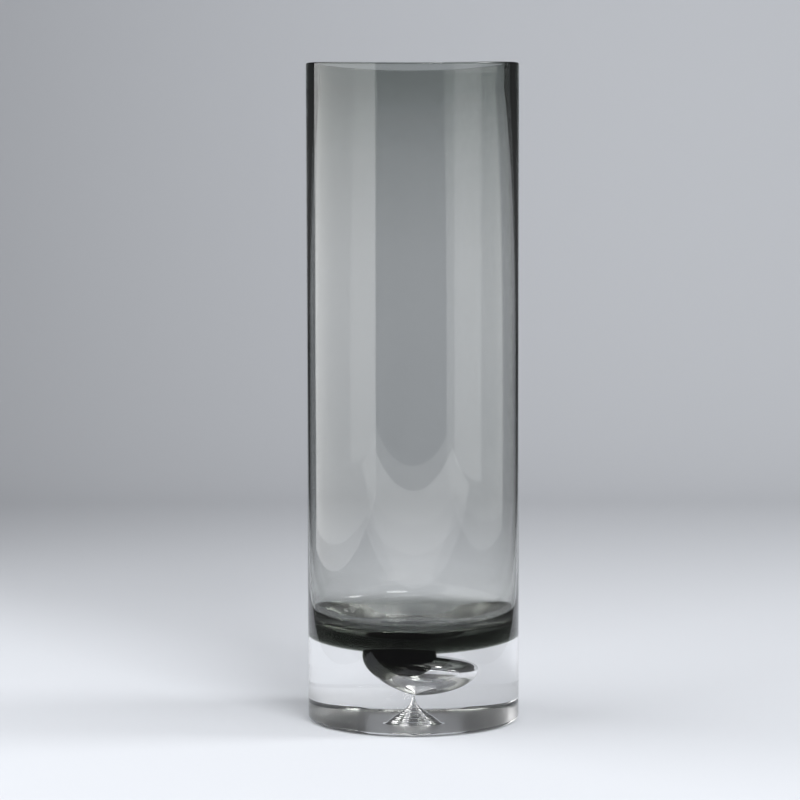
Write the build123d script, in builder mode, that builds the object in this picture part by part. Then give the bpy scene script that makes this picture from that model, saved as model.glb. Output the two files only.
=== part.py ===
"""Glass cylinder vase: a thin-blown smoke-grey cylinder on a thick clear foot with one trapped air bubble.

Millimetres, +Z up, origin at the centre of the resting face. +X is the side that the bubble leans to.
"""

import os
from math import cos, radians, sin

from build123d import *

os.makedirs("parts", exist_ok=True)

# ---- driving dimensions -------------------------------------------------------------------------
height = 250.0  # mean height of the rim over the table
outer_r = 40.5  # outside radius, one straight cylinder from foot to rim

# the grey wall is thick at the cut rim, thins downwards as it was blown, and thickens into the floor
rim_wall = 3.4
body_wall = 1.0
low_wall = 2.0
mouth_depth = 8.0  # straight stretch of the inside, under the rim
thick_to_z = 205.0  # most of the upper thinning is done above this height
thin_from_z = 110.0  # the wall is thin from here
thin_to_z = 90.0  # down to here
corner_top_z = 43.5  # where the low wall starts to turn into the floor

rim_rise = 0.65  # the ground rim stands this much over the mean at two sides, and under it front and back
rim_arris = 0.5  # polished rounding of both rim edges

bowl_r = 30.0  # where the corner ends and the shallow bowl of the floor starts
bowl_z = 37.0
floor_z = 33.7  # lowest flat of the bowl
floor_r = 12.0  # radius of that flat
floor_dish_r = 8.0  # round tool mark in the middle of it
floor_dish_depth = 0.6

seam_z = 33.5  # line where grey glass meets clear glass on the outside
seam_sag = 6.2  # the grey floor bulges down by this much at the centre

foot_edge_r = 1.8  # rounding round the foot's bottom edge

bubble_r = 14.4  # widest radius of the onion-shaped air bubble
bubble_height = 15.5  # from its pointed lower end to the crown of its dome
bubble_wide = 10.9  # height of its widest place over its lower end
bubble_tip_z = 10.9  # where its lower end is
bubble_shift = 0.5  # how far its lower end is off the vase's axis
bubble_lean = 10.0  # degrees that its own axis leans to +X

drip_r = 10.0  # round drip of grey glass that hangs over one shoulder of the bubble
drip_at = (-3.8, -4.4, 26.3)
drip_top_z = 30.0  # it is flush inside the grey floor from here up
thread_r = 0.35  # hair-thin air channel from the bubble down to the hollow

hollow_mouth_r = 7.4  # trumpet hollow in the underside
hollow_neck_z = 10.0  # where the trumpet closes to the thread

# the rim is ground on a very large drum, which leaves a saddle: high at +X and -X, low at +Y and -Y
drum_r = outer_r**2 / (4 * rim_rise)
rim_low_z = height - rim_rise
mouth_r = outer_r - rim_wall
thin_r = outer_r - body_wall
low_r = outer_r - low_wall
mouth_z = height - mouth_depth
seam_low_z = seam_z - seam_sag
dish_z = floor_z - floor_dish_depth

# ---- shared shapes ------------------------------------------------------------------------------
# onion-shaped bubble: a shallow bowl under a flat dome, turned about its own leaning axis
bubble_up = Vector(sin(radians(bubble_lean)), 0, cos(radians(bubble_lean)))
bubble_plane = Plane(
    origin=(bubble_shift, 0, bubble_tip_z),
    x_dir=(bubble_up.Z, 0, -bubble_up.X),
    z_dir=(0, -1, 0),
)
with BuildPart() as bubble:
    with BuildSketch(bubble_plane):
        with BuildLine():
            Bezier((0, 0), (4.5, 0.6), (bubble_r, 4.4), (bubble_r, bubble_wide))
            Bezier(
                (bubble_r, bubble_wide),
                (bubble_r, 14.6),
                (8.5, bubble_height),
                (0, bubble_height),
            )
            Line((0, bubble_height), (0, 0))
        make_face()
    revolve(axis=Axis(bubble_plane.origin, bubble_up))

# drip of grey glass, before the bubble is taken out of it
with BuildPart() as drip:
    with Locations(drip_at):
        Sphere(drip_r)
    with Locations((0, 0, drip_top_z)):
        Box(80, 80, 40, align=(Align.CENTER, Align.CENTER, Align.MIN), mode=Mode.SUBTRACT)

# ---- smoke body ---------------------------------------------------------------------------------
with BuildPart() as smoke_body:
    # solid slug with the bulging underside
    with BuildSketch(Plane.XZ):
        with BuildLine():
            TangentArc((0, seam_low_z), (outer_r, seam_z), tangent=(1, 0))
            Polyline((outer_r, seam_z), (outer_r, height + 5), (0, height + 5), (0, seam_low_z))
        make_face()
    revolve(axis=Axis.Z)

    # the flower well: bowl-shaped floor, rounded corner, thin wall, and a thicker straight mouth
    with BuildSketch(Plane.XZ):
        with BuildLine():
            Line((0, dish_z), (floor_dish_r, dish_z))
            Bezier(
                (floor_dish_r, dish_z),
                (floor_dish_r + 3, dish_z),
                (floor_r - 2.5, floor_z),
                (floor_r, floor_z),
            )
            Bezier(
                (floor_r, floor_z),
                (floor_r + 8, floor_z),
                (bowl_r - 4, bowl_z - 1.3),
                (bowl_r, bowl_z),
            )
            Bezier(
                (bowl_r, bowl_z),
                (bowl_r + 4, bowl_z + 1.3),
                (low_r - 0.5, corner_top_z - 4),
                (low_r, corner_top_z),
            )
            Bezier(
                (low_r, corner_top_z),
                (low_r + 0.5, corner_top_z + 4),
                (thin_r, thin_to_z - 25),
                (thin_r, thin_to_z),
            )
            Line((thin_r, thin_to_z), (thin_r, thin_from_z))
            Bezier(
                (thin_r, thin_from_z),
                (thin_r + 0.3, thick_to_z),
                (mouth_r, mouth_z - 2),
                (mouth_r, mouth_z),
            )
            Polyline((mouth_r, mouth_z), (mouth_r, height + 10), (0, height + 10), (0, dish_z))
        make_face()
    revolve(axis=Axis.Z, mode=Mode.SUBTRACT)

    # the drip hangs from the underside and lies against the bubble
    add(drip.part)
    add(bubble.part, mode=Mode.SUBTRACT)

    # grind the rim to its saddle, then polish both edges
    reach = 60.0
    reach_z = rim_low_z + drum_r - (drum_r**2 - reach**2) ** 0.5
    with BuildSketch(Plane.XZ):
        with BuildLine():
            ThreePointArc((-reach, reach_z), (0, rim_low_z), (reach, reach_z))
            Polyline((reach, reach_z), (reach, height + 20), (-reach, height + 20), (-reach, reach_z))
        make_face()
    extrude(amount=reach, both=True, mode=Mode.SUBTRACT)
    rim_edges = smoke_body.edges().filter_by(lambda e: e.bounding_box().min.Z > height - 3)
    fillet(rim_edges.filter_by(lambda e: e.length > 2 * rim_wall), radius=rim_arris)
smoke_body.part.label = "smoke_body"

# ---- clear foot ---------------------------------------------------------------------------------
with BuildPart() as clear_foot:
    # solid puck, dished on top to fit under the grey floor
    with BuildSketch(Plane.XZ):
        with BuildLine():
            TangentArc((0, seam_low_z), (outer_r, seam_z), tangent=(1, 0))
            Line((outer_r, seam_z), (outer_r, foot_edge_r))
            TangentArc((outer_r, foot_edge_r), (outer_r - foot_edge_r, 0), tangent=(0, -1))
            Polyline((outer_r - foot_edge_r, 0), (0, 0), (0, seam_low_z))
        make_face()
    revolve(axis=Axis.Z)

    # trumpet hollow in the underside, and the thread of air that rises from its neck
    thread_top_z = bubble_tip_z + 1.5
    with BuildSketch(Plane.XZ):
        with BuildLine():
            Polyline((0, thread_top_z), (0, -1), (hollow_mouth_r, -1), (hollow_mouth_r, 0))
            Bezier((hollow_mouth_r, 0), (4.2, 4.6), (0.8, 5.6), (thread_r, hollow_neck_z))
            Polyline((thread_r, hollow_neck_z), (thread_r, thread_top_z), (0, thread_top_z))
        make_face()
    revolve(axis=Axis.Z, mode=Mode.SUBTRACT)

    # room for the drip, and the bubble
    add(drip.part, mode=Mode.SUBTRACT)
    add(bubble.part, mode=Mode.SUBTRACT)
clear_foot.part.label = "clear_foot"

export_step(smoke_body.part, "parts/smoke_body.step")
export_step(clear_foot.part, "parts/clear_foot.step")
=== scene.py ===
import math

import bmesh
import bpy
from mathutils import Matrix, Vector
from mathutils.geometry import interpolate_bezier


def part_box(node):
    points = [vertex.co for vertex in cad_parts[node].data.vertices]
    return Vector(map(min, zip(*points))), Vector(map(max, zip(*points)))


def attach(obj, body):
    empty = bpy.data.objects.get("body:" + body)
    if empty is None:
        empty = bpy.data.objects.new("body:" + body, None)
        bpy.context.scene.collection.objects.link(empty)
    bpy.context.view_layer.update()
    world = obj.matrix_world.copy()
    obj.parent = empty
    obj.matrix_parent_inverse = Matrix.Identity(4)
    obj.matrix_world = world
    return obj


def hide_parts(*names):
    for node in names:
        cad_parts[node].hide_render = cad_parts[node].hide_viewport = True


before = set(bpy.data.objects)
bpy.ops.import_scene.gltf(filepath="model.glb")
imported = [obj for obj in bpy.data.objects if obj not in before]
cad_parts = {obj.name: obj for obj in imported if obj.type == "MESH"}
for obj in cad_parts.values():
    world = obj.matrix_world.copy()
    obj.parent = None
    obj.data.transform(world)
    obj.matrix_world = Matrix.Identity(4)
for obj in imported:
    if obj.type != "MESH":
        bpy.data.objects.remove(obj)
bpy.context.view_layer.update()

# ---- Clear foot ----------------------------------------------------------------------------------
# A thick puck of clear crystal, gathered over the grey body while both were soft and marvered straight.
# A spike pushed up from below left the trumpet hollow, and the air it trapped swelled into one squat
# bubble under the grey floor, with a hair-thin thread of air between the two.

MM = 0.001
TURNS = 288  # facets round the axis

foot_corner = Vector(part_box("clear_foot")[1])
outer_r = foot_corner.x
seam_z = foot_corner.z
seam_sag = 6.2 * MM
joint_gap = 0.03 * MM  # the real joint has no gap; here it only keeps the two skins apart
touching = 0.01 * MM  # how near a point lies to a level or a radius to count as on it

foot_edge_r = 1.8 * MM
hollow_mouth_r = 7.4 * MM
hollow_neck_z = 10 * MM
hollow_lip_r = hollow_mouth_r + 0.7 * MM  # where the flat base starts to turn up into the hollow
hollow_wall_start = (hollow_mouth_r - 0.5 * MM, 0.5 * MM)
thread_r = 0.35 * MM
thread_end_z = 10.7 * MM
ripple_depth = 0.16 * MM
ripple_length = 0.135 * MM
ripple_beat = 0.37 * MM
ripple_fade = 1 * MM  # the ripples die out over this distance from the thread
bubble_r = 14.4 * MM
bubble_height = 15.5 * MM
bubble_wide = 10.9 * MM
bubble_tip = Vector((0.5 * MM, 0, 10.9 * MM))
bubble_lean = math.radians(10)

glass_ior = 1.5
melted_ior = 1.0  # light passes straight on where the two glasses are melted together
worn_roughness = 0.35


def arc(centre, radius, start, end, steps):
    """Points of a circular arc in the (r, z) half plane, angles in degrees from +r towards +z."""
    angles = [math.radians(start + (end - start) * i / steps) for i in range(steps + 1)]
    return [(centre[0] + radius * math.cos(a), centre[1] + radius * math.sin(a)) for a in angles]


def bezier(start, start_handle, end_handle, end, steps):
    """Points of one Bezier span in the (r, z) half plane."""
    ends = [Vector((r, z, 0)) for r, z in (start, start_handle, end_handle, end)]
    return [(p.x, p.y) for p in interpolate_bezier(*ends, steps + 1)]


def seam_line(drop, steps=64):
    """The line where grey meets clear, from the axis out to the wall: a shallow arc that bulges down."""
    radius = (outer_r**2 + seam_sag**2) / (2 * seam_sag)
    centre_z = seam_z - seam_sag + radius
    reach = math.degrees(math.asin(outer_r / radius))
    line = arc((0, centre_z), radius, -90, -90 + reach, steps)
    return [(r, z - drop) for r, z in line]


def straight(start, end, tuck=0.4 * MM):
    """A straight run with a point close to each end, so that its smooth shading stays flat between them."""
    a, b = Vector(start), Vector(end)
    step = (b - a).normalized() * tuck
    return [tuple(p) for p in (a, a + step, b - step, b)]


def turned(*lines):
    """Turns outlines of (r, z) points round the axis into one bmesh, and welds the poles."""
    bm = bmesh.new()
    for line in lines:
        verts = [bm.verts.new((r, 0, z)) for r, z in line]
        edges = [bm.edges.new(pair) for pair in zip(verts, verts[1:])]
        bmesh.ops.spin(bm, geom=verts + edges, cent=(0, 0, 0), axis=(0, 0, 1), dvec=(0, 0, 0),
                       angle=2 * math.pi, steps=TURNS, use_merge=True, use_duplicate=False)
    bmesh.ops.remove_doubles(bm, verts=bm.verts, dist=0.002 * MM)
    bmesh.ops.recalc_face_normals(bm, faces=bm.faces)
    for face in bm.faces:
        face.smooth = True
    return bm


def finished(name, bm, *materials):
    """Makes the bmesh an object of that name with those materials."""
    mesh = bpy.data.meshes.new(name)
    bm.to_mesh(mesh)
    bm.free()
    for material in materials:
        mesh.materials.append(material)
    piece = bpy.data.objects.new(name, mesh)
    bpy.context.scene.collection.objects.link(piece)
    return piece


def without_doubles(*lines):
    """Joins outlines end to end into one, each shared end once."""
    joined = []
    for line in lines:
        for point in line:
            if not joined or (Vector(point) - Vector(joined[-1])).length > 0.003 * MM:
                joined.append(point)
    return joined


def rippled(r, z):
    """Moves a point of the hollow in or out by the uneven ripples of its wall."""
    ripple = math.sin(z / ripple_length) * math.sin(z / ripple_beat + 1)
    fade = min(1, (r - thread_r) / ripple_fade)
    return r + ripple_depth * ripple * fade, z


def glass(name, ior, roughness=0.0):
    """Clear glass that bends light by that index."""
    material = bpy.data.materials.new(name)
    material.use_nodes = True
    shader = material.node_tree.nodes["Principled BSDF"]
    shader.inputs["Base Color"].default_value = (1, 1, 1, 1)
    shader.inputs["Roughness"].default_value = roughness
    shader.inputs["IOR"].default_value = ior
    shader.inputs["Transmission Weight"].default_value = 1.0
    return material


smooth_hollow = bezier(hollow_wall_start, (4.0 * MM, 4.4 * MM), (0.8 * MM, 5.6 * MM),
                       (thread_r, hollow_neck_z), 120)
foot_outline = without_doubles(
    seam_line(joint_gap),
    straight((outer_r, seam_z - joint_gap), (outer_r, foot_edge_r)),
    arc((outer_r - foot_edge_r, foot_edge_r), foot_edge_r, 0, -90, 12),
    straight((outer_r - foot_edge_r, 0), (hollow_lip_r, 0)),
    bezier((hollow_lip_r, 0), (hollow_mouth_r + 0.1 * MM, 0), (hollow_mouth_r - 0.2 * MM, 0.1 * MM),
           hollow_wall_start, 8),
    [rippled(r, z) for r, z in smooth_hollow],
    [(thread_r, hollow_neck_z), (thread_r, thread_end_z), (0, thread_end_z + 0.05 * MM)],
)
foot_mesh = turned(foot_outline)
for edge in foot_mesh.edges:
    if all(abs(v.co.z - (seam_z - joint_gap)) < touching for v in edge.verts):
        edge.smooth = False
for face in foot_mesh.faces:  # 0 is clear_glass, 1 melted_joint, 2 worn_base
    height = face.calc_center_median().z
    if face.normal.z > 0.5 and height > seam_z - seam_sag - MM:
        face.material_index = 1
    if face.normal.z < -0.99 and height < touching:
        face.material_index = 2

bubble_outline = without_doubles(
    bezier((0, 0), (4.5 * MM, 0.6 * MM), (bubble_r, 4.4 * MM), (bubble_r, bubble_wide), 48),
    bezier((bubble_r, bubble_wide), (bubble_r, 14.6 * MM), (8.5 * MM, bubble_height), (0, bubble_height), 48),
)
bubble_mesh = turned(bubble_outline)
bmesh.ops.reverse_faces(bubble_mesh, faces=bubble_mesh.faces)
bmesh.ops.rotate(bubble_mesh, verts=bubble_mesh.verts, cent=(0, 0, 0),
                 matrix=Matrix.Rotation(bubble_lean, 3, "Y"))
bmesh.ops.translate(bubble_mesh, verts=bubble_mesh.verts, vec=bubble_tip)
bubble_skin = bpy.data.meshes.new("bubble_skin")
bubble_mesh.to_mesh(bubble_skin)
bubble_mesh.free()
foot_mesh.from_mesh(bubble_skin)

clear_glass = glass("clear_glass", glass_ior)
melted_joint = glass("melted_joint", melted_ior)
worn_base = glass("worn_base", glass_ior, worn_roughness)
foot = finished("clear_foot_glass", foot_mesh, clear_glass, melted_joint, worn_base)
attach(foot, "root")
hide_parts("clear_foot")

# ---- Smoke body ----------------------------------------------------------------------------------
# A straight cylinder blown from smoke-grey glass, with a thick floor that bulges down into the clear
# foot. Its rim is ground on a large drum and polished, which leaves a slight saddle.

rim_wall = 3.4 * MM
body_wall = 1.0 * MM
mouth_depth = 8 * MM
thick_to_z = 205 * MM
thin_from_z = 110 * MM
rim_rise = 0.65 * MM
rim_z = 250 * MM
rim_arris = 0.5 * MM
floor_z = 33.7 * MM
thin_to_z = 90 * MM
low_wall = 2 * MM
corner_top_z = 43.5 * MM
bowl_r = 30 * MM
bowl_z = 37 * MM
floor_r = 12 * MM
dish_r = 8 * MM
dish_z = floor_z - 0.6 * MM
saddled_depth = 2 * MM  # only this much of the wall follows the rise and fall of the rim

mouth_r = outer_r - rim_wall
mouth_z = rim_z - mouth_depth
thin_r = outer_r - body_wall
low_r = outer_r - low_wall
body_outline = without_doubles(
    seam_line(0),
    straight((outer_r, seam_z), (outer_r, rim_z - rim_arris)),
    arc((outer_r - rim_arris, rim_z - rim_arris), rim_arris, 0, 90, 6),
    straight((outer_r - rim_arris, rim_z), (mouth_r + rim_arris, rim_z)),
    arc((mouth_r + rim_arris, rim_z - rim_arris), rim_arris, 90, 180, 6),
    straight((mouth_r, rim_z - rim_arris), (mouth_r, mouth_z)),
    bezier((mouth_r, mouth_z), (mouth_r, mouth_z - 2 * MM), (thin_r + 0.3 * MM, thick_to_z),
           (thin_r, thin_from_z), 64),
    straight((thin_r, thin_from_z), (thin_r, thin_to_z)),
    bezier((thin_r, thin_to_z), (thin_r, thin_to_z - 25 * MM), (low_r + 0.5 * MM, corner_top_z + 4 * MM),
           (low_r, corner_top_z), 32),
    bezier((low_r, corner_top_z), (low_r - 0.5 * MM, corner_top_z - 4 * MM),
           (bowl_r + 4 * MM, bowl_z + 1.3 * MM), (bowl_r, bowl_z), 40),
    bezier((bowl_r, bowl_z), (bowl_r - 4 * MM, bowl_z - 1.3 * MM),
           (floor_r + 8 * MM, floor_z), (floor_r, floor_z), 24),
    bezier((floor_r, floor_z), (floor_r - 2.5 * MM, floor_z),
           (dish_r + 3 * MM, dish_z), (dish_r, dish_z), 20),
    straight((dish_r, dish_z), (0, dish_z)),
)
body_mesh = turned(body_outline)
joint_mask = body_mesh.faces.layers.float.new("melted_joint")
for face in body_mesh.faces:
    if face.normal.z < -0.5 and face.calc_center_median().z < seam_z:
        face[joint_mask] = 1.0
for edge in body_mesh.edges:
    if all(abs(v.co.z - seam_z) < touching and v.co.xy.length > outer_r - touching for v in edge.verts):
        edge.smooth = False
for vert in body_mesh.verts:
    if vert.co.z > rim_z - saddled_depth:
        vert.co.z += rim_rise * math.cos(2 * math.atan2(vert.co.y, vert.co.x))


def coloured_through(material, colour, density):
    """Gives the glass its grey in depth, so that it is darker where it is thicker."""
    nodes = material.node_tree.nodes
    absorb = nodes.new("ShaderNodeVolumeAbsorption")
    absorb.inputs["Color"].default_value = (*colour, 1)
    absorb.inputs["Density"].default_value = density
    material.node_tree.links.new(absorb.outputs[0], nodes["Material Output"].inputs["Volume"])


smoke_glass = glass("smoke_glass", glass_ior)
coloured_through(smoke_glass, (0.478, 0.5, 0.465), 165)
nodes, links = smoke_glass.node_tree.nodes, smoke_glass.node_tree.links
smoke_shader = nodes["Principled BSDF"]
mask = nodes.new("ShaderNodeAttribute")
mask.attribute_name = "melted_joint"
joint_ior = nodes.new("ShaderNodeMapRange")
joint_ior.inputs["To Min"].default_value = glass_ior
joint_ior.inputs["To Max"].default_value = melted_ior
links.new(mask.outputs["Fac"], joint_ior.inputs["Value"])
links.new(joint_ior.outputs["Result"], smoke_shader.inputs["IOR"])

# Part of the wall's grey is a dark layer on its outer skin, which gets deeper towards the rim.
layer_hue = (1.1, 1.0, 1.03)  # it takes a little more red and blue than green
grey_layer = [  # height in millimetres, and how much light the dark layer takes there
    (50, 0.0), (64, 0.02), (85, 0.07), (110, 0.085), (140, 0.07), (179, 0.06), (198, 0.075), (217, 0.10),
    (232, 0.16), (243, 0.24), (250, 0.30),
]
layer_low, layer_high = grey_layer[0][0], grey_layer[-1][0]
place = nodes.new("ShaderNodeTexCoord")
axes = nodes.new("ShaderNodeSeparateXYZ")
links.new(place.outputs["Object"], axes.inputs[0])
up_the_wall = nodes.new("ShaderNodeMapRange")
up_the_wall.inputs["From Min"].default_value = layer_low * MM
up_the_wall.inputs["From Max"].default_value = layer_high * MM
links.new(axes.outputs["Z"], up_the_wall.inputs["Value"])
ramp = nodes.new("ShaderNodeValToRGB")
links.new(up_the_wall.outputs["Result"], ramp.inputs["Fac"])
elements = ramp.color_ramp.elements
elements.remove(elements[-1])
for height, dark in grey_layer:
    share = (height - layer_low) / (layer_high - layer_low)
    element = elements.new(share) if share > 0 else elements[0]
    element.position = share
    element.color = (*(math.exp(-2 * dark * hue) for hue in layer_hue), 1)
flat_place = nodes.new("ShaderNodeVectorMath")
flat_place.operation = "MULTIPLY"
flat_place.inputs[1].default_value = (1, 1, 0)
links.new(place.outputs["Object"], flat_place.inputs[0])
from_axis = nodes.new("ShaderNodeVectorMath")
from_axis.operation = "LENGTH"
links.new(flat_place.outputs[0], from_axis.inputs[0])
outside = nodes.new("ShaderNodeMath")
outside.operation = "GREATER_THAN"
outside.inputs[1].default_value = outer_r - 0.4 * MM
links.new(from_axis.outputs["Value"], outside.inputs[0])
tint = nodes.new("ShaderNodeMix")
tint.data_type = "RGBA"
tint.inputs["A"].default_value = (1, 1, 1, 1)
links.new(outside.outputs[0], tint.inputs["Factor"])
links.new(ramp.outputs["Color"], tint.inputs["B"])
links.new(tint.outputs["Result"], smoke_shader.inputs["Base Color"])

body = finished("smoke_body_glass", body_mesh, smoke_glass)
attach(body, "root")
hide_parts("smoke_body")

# ---- Painted dark reflection ---------------------------------------------------------------------
# A ball of near-black glass that bends no light. It hangs under the floor of the smoke body over one
# shoulder of the bubble and hides that side of it. It is a painted dark reflection: it stands in for
# the dark floor of the body seen mirrored in that shoulder of the bubble.

dark_reflection_r = 10 * MM
dark_reflection_at = Vector((-3.8 * MM, -4.4 * MM, 26.3 * MM))
dark_reflection_top_z = 28 * MM  # above this the ball is cut away, and the floor of the body takes over

dark_reflection_mesh = bmesh.new()
bmesh.ops.create_uvsphere(dark_reflection_mesh, u_segments=96, v_segments=64, radius=dark_reflection_r,
                          matrix=Matrix.Translation(dark_reflection_at))
bmesh.ops.bisect_plane(dark_reflection_mesh, geom=dark_reflection_mesh.verts[:] + dark_reflection_mesh.edges[:] + dark_reflection_mesh.faces[:],
                       plane_co=(0, 0, dark_reflection_top_z), plane_no=(0, 0, 1), clear_outer=True)
bmesh.ops.holes_fill(dark_reflection_mesh, edges=[e for e in dark_reflection_mesh.edges if e.is_boundary])
bmesh.ops.recalc_face_normals(dark_reflection_mesh, faces=dark_reflection_mesh.faces)
for face in dark_reflection_mesh.faces:
    face.smooth = len(face.verts) < 5  # all but the flat top

# painted dark reflection: near-black glass with no bend of light at its skin
dark_reflection_glass = glass("painted_dark_reflection", melted_ior)
coloured_through(dark_reflection_glass, (0.485, 0.5, 0.45), 1400)
dark_reflection = finished("painted_dark_reflection", dark_reflection_mesh, dark_reflection_glass)
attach(dark_reflection, "root")
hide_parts("smoke_body")

# ---- Studio --------------------------------------------------------------------------------------
# A pale sheet of card under the vase, swept up behind it, on a dark table. A tall reflector stands at the
# left, a lit card lies in front, and four soft boxes hang round the rest. Places here are in metres.

floor_top = -0.2 * MM  # the ground foot rests on a few high spots, so air lies under all of its face
sweep_front_y = -0.17
sweep_bend_y = 0.75
sweep_bend_r = 0.5
sweep_front_half = 0.16
sweep_spread = 0.155  # half the sheet's gain in width per metre towards the back

sweep_line = without_doubles(
    [(sweep_front_y, floor_top), (sweep_bend_y, floor_top)],
    arc((sweep_bend_y, sweep_bend_r + floor_top), sweep_bend_r, -90, -8, 24),
)
sweep_mesh = bmesh.new()
sides = []
for way in (-1, 1):
    sides.append([
        sweep_mesh.verts.new((way * (sweep_front_half + sweep_spread * (y - sweep_front_y)), y, z))
        for y, z in sweep_line
    ])
for corners in zip(sides[0], sides[0][1:], sides[1][1:], sides[1]):
    sweep_mesh.faces.new(corners)
bmesh.ops.recalc_face_normals(sweep_mesh, faces=sweep_mesh.faces)
for face in sweep_mesh.faces:
    face.smooth = True
sweep_paint = bpy.data.materials.new("sweep_paint")
sweep_paint.use_nodes = True
paint = sweep_paint.node_tree.nodes["Principled BSDF"]
paint.inputs["Base Color"].default_value = (0.72, 0.745, 0.79, 1)
paint.inputs["Roughness"].default_value = 0.9
paint.inputs["Specular IOR Level"].default_value = 0.0
sweep = finished("studio_sweep", sweep_mesh, sweep_paint)

room_mesh = bmesh.new()
bmesh.ops.create_grid(room_mesh, x_segments=1, y_segments=1, size=3, matrix=Matrix.Translation((0, 0, -MM)))
room_paint = sweep_paint.copy()
room_paint.name = "room_floor_paint"
room_paint.node_tree.nodes["Principled BSDF"].inputs["Base Color"].default_value = (0.12, 0.12, 0.125, 1)
room_floor = finished("room_floor", room_mesh, room_paint)


def soft_box(name, centre, target, width, height, level):
    """A soft box of that size, aimed at target; level is how bright its face is, where 1 is white."""
    lamp = bpy.data.lights.new(name, "AREA")
    lamp.shape = "RECTANGLE"
    lamp.size, lamp.size_y = width, height
    lamp.energy = level * math.pi * width * height
    box = bpy.data.objects.new(name, lamp)
    box.location = centre
    box.rotation_euler = (Vector(target) - Vector(centre)).to_track_quat("-Z", "Y").to_euler()
    bpy.context.scene.collection.objects.link(box)


reflector_x = -0.475
reflector_turn = 0.126  # how far it comes in per metre towards the back
reflector_front_y = -0.67
reflector_back_y = 0.34
reflector_height = 1.1
reflector_mesh = bmesh.new()
reflector_corners = [
    reflector_mesh.verts.new((reflector_x + reflector_turn * y, y, z))
    for y, z in (
        (reflector_front_y, 0),
        (reflector_front_y, reflector_height),
        (reflector_back_y, reflector_height),
        (reflector_back_y, 0),
    )
]
reflector_mesh.faces.new(reflector_corners)
reflector_glow = bpy.data.materials.new("reflector_glow")
reflector_glow.use_nodes = True
glow_nodes, glow_links = reflector_glow.node_tree.nodes, reflector_glow.node_tree.links
glow_nodes.remove(glow_nodes["Principled BSDF"])
emission = glow_nodes.new("ShaderNodeEmission")
glow_place = glow_nodes.new("ShaderNodeTexCoord")
glow_axes = glow_nodes.new("ShaderNodeSeparateXYZ")
glow_height = glow_nodes.new("ShaderNodeMapRange")  # dimmer near the table
glow_height.inputs["From Max"].default_value = 0.16
glow_height.inputs["To Min"].default_value = 1.5
glow_height.inputs["To Max"].default_value = 2.0
glow_links.new(glow_place.outputs["Object"], glow_axes.inputs[0])
glow_links.new(glow_axes.outputs["Z"], glow_height.inputs["Value"])
glow_links.new(glow_height.outputs["Result"], emission.inputs["Strength"])
glow_links.new(emission.outputs[0], glow_nodes["Material Output"].inputs["Surface"])
reflector = finished("left_reflector", reflector_mesh, reflector_glow)

soft_box("right_soft_box", (0.85, -0.5, 0.6), (-0.2, -0.25, 0.6), 0.6, 1.2, 0.8)
soft_box("top_soft_box", (0.15, -0.45, 1.4), (0.1, -0.25, 0), 0.8, 0.5, 2.8)
soft_box("front_soft_box", (0.6, -1.5, 1.1), (0.1, 0.9, 0.2), 0.8, 0.6, 14.0)
soft_box("key_soft_box", (0.95, 0.0, 0.85), (0.1, 0.2, 0), 0.35, 0.35, 15.0)
soft_box("front_card", (0, -0.65, 0.002), (0, -0.65, 1), 1.6, 0.46, 1.0)

world = bpy.data.worlds.new("studio_air")
world.use_nodes = True
world.node_tree.nodes["Background"].inputs["Color"].default_value = (0.05, 0.05, 0.052, 1)
bpy.context.scene.world = world

camera_data = bpy.data.cameras.new("camera")
camera_data.lens = 129.3
camera_data.sensor_width = 36
camera = bpy.data.objects.new("camera", camera_data)
camera.location = (-0.0048, -1.096, 0.205)
camera_tilt = 4.3  # degrees down from level
camera_roll = 0.12
camera.rotation_euler = (math.radians(90 - camera_tilt), math.radians(camera_roll), 0)
bpy.context.scene.collection.objects.link(camera)
bpy.context.scene.camera = camera
bpy.context.scene.view_settings.view_transform = "Standard"
